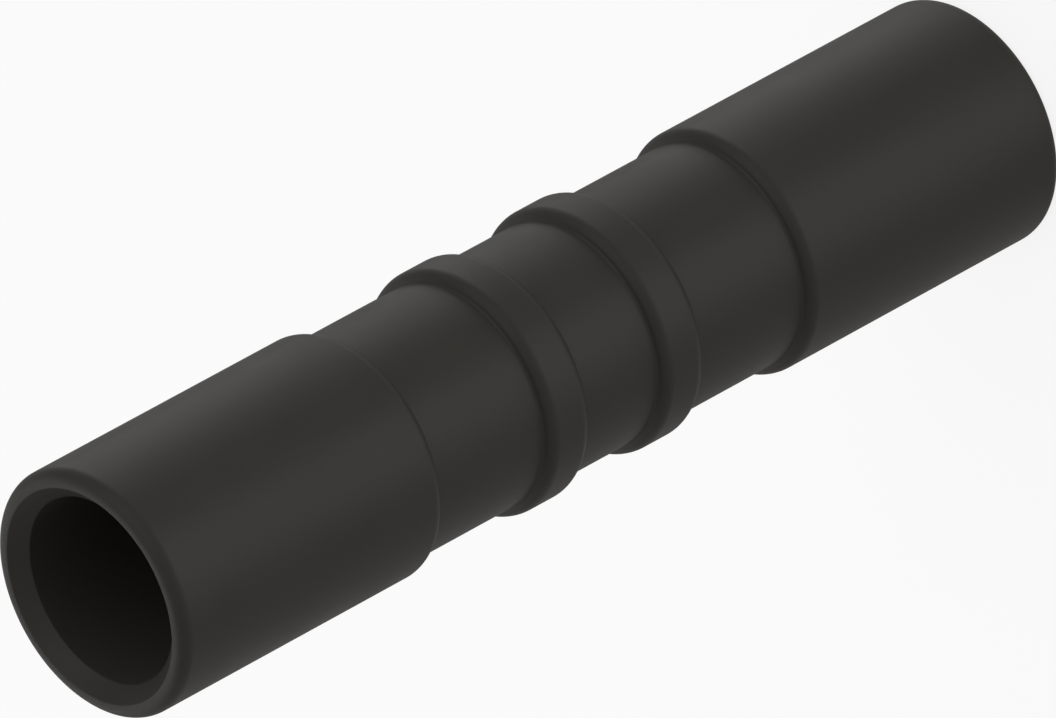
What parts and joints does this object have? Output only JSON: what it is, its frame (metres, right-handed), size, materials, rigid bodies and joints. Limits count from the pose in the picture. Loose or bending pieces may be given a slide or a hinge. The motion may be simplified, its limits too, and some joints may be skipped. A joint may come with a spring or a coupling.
{
  "type": "push-fit pipe coupling",
  "caption": "Plain plug-in sleeve that joins push-in pipe fittings end to end: a straight moulded tube with plain spigots at its ends, shallow grooves behind them and narrow collars midway.",
  "frame": {"origin": "centre of the end face that the sleeve stands on, on the axis of the bore", "axes": "+Z along the bore, from the end that it stands on to the other end; X and Y are any two directions square to it, because the sleeve is a body of revolution"},
  "size_m": [0.01, 0.01, 0.0462],
  "materials": {
    "moulded_black_plastic": "satin"
  },
  "bodies": {
    "root": {"coupling_sleeve": "moulded_black_plastic"}
  },
  "joints": []
}
